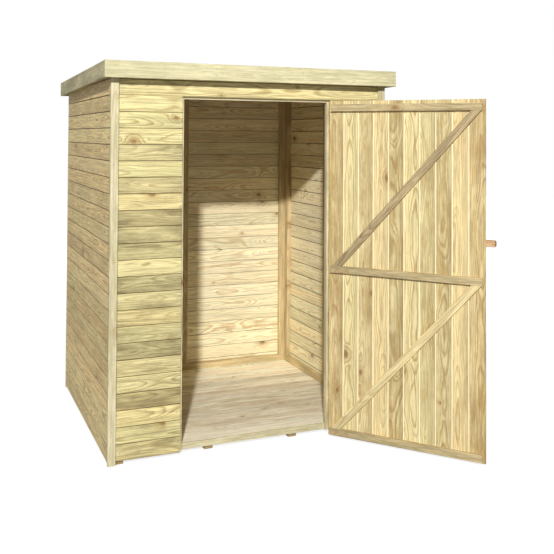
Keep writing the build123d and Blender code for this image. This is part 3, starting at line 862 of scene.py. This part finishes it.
FRAME_TONES = ("#E6D09E", "#B48E58", "#AA9A70")
TRIM_TONES = ("#F0E4BE", "#CDB27C", "#B9B284")
for node in ("left_wall_stiles", "right_wall_stiles", "corner_posts"):
    timber(node + "_pine", [node], Z, X, *FRAME_TONES)
for node in ("back_wall_stiles", "front_wall_stiles"):
    timber(node + "_pine", [node], Z, -Y, *FRAME_TONES)
for node in ("left_wall_rails", "right_wall_rails"):
    timber(node + "_pine", [node], Y, X, *FRAME_TONES)
for node in ("back_wall_rails", "front_wall_rails"):
    timber(node + "_pine", [node], X, -Y, *FRAME_TONES)
timber("joist_pine", ["roof_joists"], Y, Z, *FRAME_TONES)
timber("bearer_pine", ["bearers"], Y, Z, "#B79A6C", "#8A6C44", "#9A9068")
for side in ("front_left", "front_right", "back_left", "back_right"):
    timber(f"batten_{side}_pine", ["corner_batten_" + side], Z, -Y, *TRIM_TONES)
for node in ("door_stop_left", "door_stop_right"):
    timber(node + "_pine", [node], Z, -Y, *TRIM_TONES)
for node in ("door_stop_top", "threshold"):
    timber(node + "_pine", [node], X, -Y, *TRIM_TONES)
for node in ("fascia_front", "fascia_back"):
    timber(node + "_pine", [node], X, -Y, "#F0E6BB", "#C4AF76", "#C3BD8E", ring_strength=0.4)
for node in ("fascia_left", "fascia_right"):
    timber(node + "_pine", [node], Y, X, "#DFD3A4", "#AE9866", "#99926E",
           ring_strength=0.5, stained=0.8)
for node in ("door_ledge_top", "door_ledge_middle", "door_ledge_bottom"):
    timber(node + "_pine", [node], door_along, door_inward, "#DCC797", "#A58350", "#9E8F68",
           streaks=(0.76, 1.10))
print("timbers:", len([m for m in bpy.data.materials if m.name.endswith("_pine")]))

# %% Grain along the braces
for node in ("door_brace_upper", "door_brace_lower"):
    near, far = door_reach(node)
    slant = door_along * (far[0] - near[0]) + Z * (far[2] - near[2])
    tones = ("#CDB68A", "#6E5432", "#8C7C58") if node.endswith("upper") else (
        "#F6E2AC", "#CDA868", "#D3C08A")
    timber(node + "_pine", [node], slant, door_inward, *tones, streaks=(0.72, 1.12))
print("braces follow their slant")

# %% [markdown]
# ## Zinc-plated hinges and the wooden pull
#
# The T-hinges are pressed from sheet steel and zinc plated: a pale, slightly blotchy metal with
# a soft shine. The pull is a planed block of reddish pine whose grain runs along it. Its far end
# is darkened as painted shade, and that dark end is all that shows of it past the door.

# %% Hinge steel
steel, tree, shader = new_material("zinc_plated_steel")
place = add(tree, "ShaderNodeTexCoord").outputs["Object"]
SPANGLE = 6 * MM
blotch = add(tree, "ShaderNodeTexNoise", {"Vector": place, "Scale": 1 / SPANGLE, "Detail": 3.0})
tree.links.new(ramp(tree, blotch.outputs["Fac"], [(0.3, "#9A9B97"), (0.7, "#B9BAB6")]),
               shader.inputs["Base Color"])
shader.inputs["Metallic"].default_value = 1.0
dull = add(tree, "ShaderNodeMapRange", {
    "Value": blotch.outputs["Fac"], "To Min": 0.32, "To Max": 0.55})
tree.links.new(dull.outputs[0], shader.inputs["Roughness"])
for node in ("hinge_strap_top", "hinge_strap_bottom", "hinge_plate_top", "hinge_plate_bottom",
             "hinge_pins"):
    for slot in frame["nodes"][node].material_slots:
        slot.material = steel
print("steel on five hinge pieces")

# %% Wooden pull
pull_pine = timber("door_pull_pine", ["door_knob"], door_along, door_inward,
                   "#EFCBA0", "#A8713F", "#C59A6A", heart_depth=14 * MM)
END_SHADE = 7 * MM
pull_far = door_reach("door_knob")[1]
pull_end = on_door(pull_far[0], 0, 0)
tree = pull_pine.node_tree
shader = next(n for n in tree.nodes if n.type == "BSDF_PRINCIPLED")
clean = shader.inputs["Base Color"].links[0].from_socket
place = add(tree, "ShaderNodeTexCoord").outputs["Object"]
reach = add(tree, "ShaderNodeVectorMath", {0: place, 1: door_along}, operation="DOT_PRODUCT")
# Painted shade: the last few millimetres of the pull's far end are mixed towards dark brown.
painted_end_shade = add(tree, "ShaderNodeMapRange", {
    "Value": reach.outputs["Value"], "From Min": pull_end.dot(door_along) - END_SHADE,
    "From Max": pull_end.dot(door_along) - 0.4 * END_SHADE, "To Max": 0.85})
darkened = add(tree, "ShaderNodeMix", {0: painted_end_shade, "A": clean, "B": linear("#5C3A1C")},
               data_type="RGBA")
tree.links.new(darkened.outputs["Result"], shader.inputs["Base Color"])
print("pull reaches", round((pull_far[0] - door_far[0]) / MM, 1), "mm past the door's edge")

# %% [markdown]
# ## Nails and screws
#
# Every board is nailed to every stile behind it, the door's boards are nailed to the ledges,
# the hinges are screwed on, and the felt is held by broad clout nails. Each kind is one joined
# mesh: a low round head, turned to face the way the nail was driven, repeated at every fixing.

# %% Make heads
HEAD_SIDES = 10


def make_heads(name, places, radius, height, material, body, slot):
    """Round heads at (point, outward) places, joined in one mesh."""
    made = bmesh.new()
    profile = [(radius, 0), (radius, 0.45 * height), (0.7 * radius, 0.9 * height)]
    for point, outward in places:
        side = outward.orthogonal().normalized()
        other = outward.cross(side)
        rings = []
        for ring_radius, rise in profile:
            rings.append([
                made.verts.new(point + outward * rise + ring_radius * (
                    side * math.cos(2 * math.pi * i / HEAD_SIDES)
                    + other * math.sin(2 * math.pi * i / HEAD_SIDES)))
                for i in range(HEAD_SIDES)])
        for low, high in zip(rings, rings[1:]):
            for i in range(HEAD_SIDES):
                j = (i + 1) % HEAD_SIDES
                made.faces.new((low[i], low[j], high[j], high[i]))
        tip = made.verts.new(point + outward * height)
        for i in range(HEAD_SIDES):
            made.faces.new((rings[-1][i], rings[-1][(i + 1) % HEAD_SIDES], tip))
        made.faces.new(rings[0][::-1])
    heads = make_object(name, made, material, body)
    print(f"{name}: {len(places)} heads")
    return heads


# %% Where the frame's members stand
COVER_NAIL = dict(radius=2.6 * MM, height=0.6 * MM)
NAIL_SHARES = (0.3, 0.7)
SCREW = dict(radius=4.0 * MM, height=1.2 * MM)
CLOUT = dict(radius=5.0 * MM, height=0.9 * MM)


def members(node, axis):
    """The (low, high) span of each member of a frame node along one axis."""
    seen = sorted({round(v.co[axis], 5) for v in frame["nodes"][node].data.vertices})
    return list(zip(seen[::2], seen[1::2]))


def middles(node, axis):
    return [(low + high) / 2 for low, high in members(node, axis)]


board_middles = [(low + high) / 2 for start, end, low, high in side_rows]
side_lines = middles("left_wall_stiles", 1) + middles("corner_posts", 1)
back_lines = middles("back_wall_stiles", 0)
front_lines = middles("front_wall_stiles", 0)
print("nail lines, mm:", [round(v / MM) for v in side_lines], [round(v / MM) for v in front_lines])

# %% Nail the cladding
EAVES_CLEAR = 10 * MM


def under_eaves(y, z):
    return z < header_high.z - roof_slope * (y - header_low.y) - EAVES_CLEAR


cladding_nails = []
for y in side_lines:
    for z in board_middles:
        if under_eaves(y, z):
            cladding_nails += [(Vector((left_low.x, y, z)), -X), (Vector((right_high.x, y, z)), X)]
for x in back_lines:
    cladding_nails += [(Vector((x, back_high.y, z)), Y) for z in board_middles
                       if under_eaves(back_high.y, z)]
for x in front_lines:
    cladding_nails += [(Vector((x, front_low.y, z)), -Y) for z in board_middles
                       if under_eaves(front_low.y, z)]
make_heads("cladding_nails", cladding_nails, **COVER_NAIL, material=steel, body="shed",
           slot="hinge_steel")

# %% Nail the battens, the front fascia and the floor
BATTEN_PITCH = 0.3
FASCIA_END = 22 * MM
trim_nails = []
for side in ("front_left", "front_right", "back_left", "back_right"):
    low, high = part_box("corner_batten_" + side)
    face, out = (low.y, -Y) if side.startswith("front") else (high.y, Y)
    steps = round((high.z - low.z) / BATTEN_PITCH)
    pitch = (high.z - low.z) / steps
    trim_nails += [(Vector(((low.x + high.x) / 2, face, low.z + (i + 0.5) * pitch)), out)
                   for i in range(steps)]
fascia_low, fascia_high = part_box("fascia_front")
fascia_xs = [fascia_low.x + FASCIA_END, *middles("roof_joists", 0), fascia_high.x - FASCIA_END]
for x in fascia_xs:
    for share in NAIL_SHARES:
        z = fascia_low.z + share * (fascia_high.z - fascia_low.z)
        trim_nails.append((Vector((x, fascia_low.y, z)), -Y))
for x in middles("bearers", 0):
    for start, end, low, high in floor_rows:
        if start < x - floor_low.x < end and high <= to_notch:
            for share in (0.28, 0.72):
                y = floor_high.y - low - share * (high - low)
                trim_nails.append((Vector((x, y, floor_high.z)), Z))
make_heads("trim_nails", trim_nails, **COVER_NAIL, material=steel, body="shed", slot="hinge_steel")

# %% Nail the door's boards to its ledges
door_nails = []
for node in ("door_ledge_top", "door_ledge_middle", "door_ledge_bottom"):
    near, far = door_reach(node)
    for i in range(DOOR_BOARDS):
        along = door_near[0] + (i + 0.5) * door_cover
        for share in NAIL_SHARES:
            height = near[2] + share * (far[2] - near[2])
            door_nails.append((on_door(along, door_near[1], height), -door_inward))
make_heads("door_nails", door_nails, **COVER_NAIL, material=steel, body="door", slot="hinge_steel")

# %% Screw the hinges on
STRAP_SCREWS = (0.16, 0.42, 0.68, 0.92)
PLATE_SCREWS = (0.12, 0.5, 0.88)
LEAF_THICK = 2.5 * MM
PLATE_SCREW_OFFSET = 6 * MM
strap_screws, plate_screws = [], []
for end in ("top", "bottom"):
    near, far = door_reach("hinge_strap_" + end)
    strap_out = door_near[1] - LEAF_THICK
    strap_screws += [(on_door(share * far[0], strap_out, (near[2] + far[2]) / 2), -door_inward)
                     for share in STRAP_SCREWS]
    low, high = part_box("hinge_plate_" + end)
    plate_x = (hinge_axis.x + high.x) / 2 + PLATE_SCREW_OFFSET
    plate_screws += [(Vector((plate_x, front_low.y - LEAF_THICK, low.z + share * (high.z - low.z))), -Y)
                     for share in PLATE_SCREWS]
make_heads("strap_screws", strap_screws, **SCREW, material=steel, body="door", slot="hinge_steel")
make_heads("plate_screws", plate_screws, **SCREW, material=steel, body="shed", slot="hinge_steel")

# %% Clout nails in the felt
CLOUT_PITCH = 0.1
CLOUT_INSET = 18 * MM


def felt_top(y):
    return felt_base(y) + FELT_SHEET + FELT_WAVE * 0.5 + (lap_lift(y) if y < lap_back else 0)


def spread(low, high):
    """Places at the clout pitch between two ends."""
    steps = round((high - low) / CLOUT_PITCH)
    return [low + i * (high - low) / steps for i in range(steps + 1)]


clout_spots = []
for x in spread(felt_low.x + CLOUT_INSET, felt_high.x - CLOUT_INSET):
    clout_spots += [(x, y) for y in (felt_low.y + CLOUT_INSET, lap_back - CLOUT_INSET,
                                     felt_high.y - CLOUT_INSET)]
for y in spread(felt_low.y + CLOUT_INSET, felt_high.y - CLOUT_INSET)[1:-1]:
    clout_spots += [(x, y) for x in (felt_low.x + CLOUT_INSET, felt_high.x - CLOUT_INSET)]
clouts = [(Vector((x, y, felt_top(y))), roof_normal) for x, y in clout_spots]
make_heads("felt_clout_nails", clouts, **CLOUT, material=steel, body="shed", slot="hinge_steel")
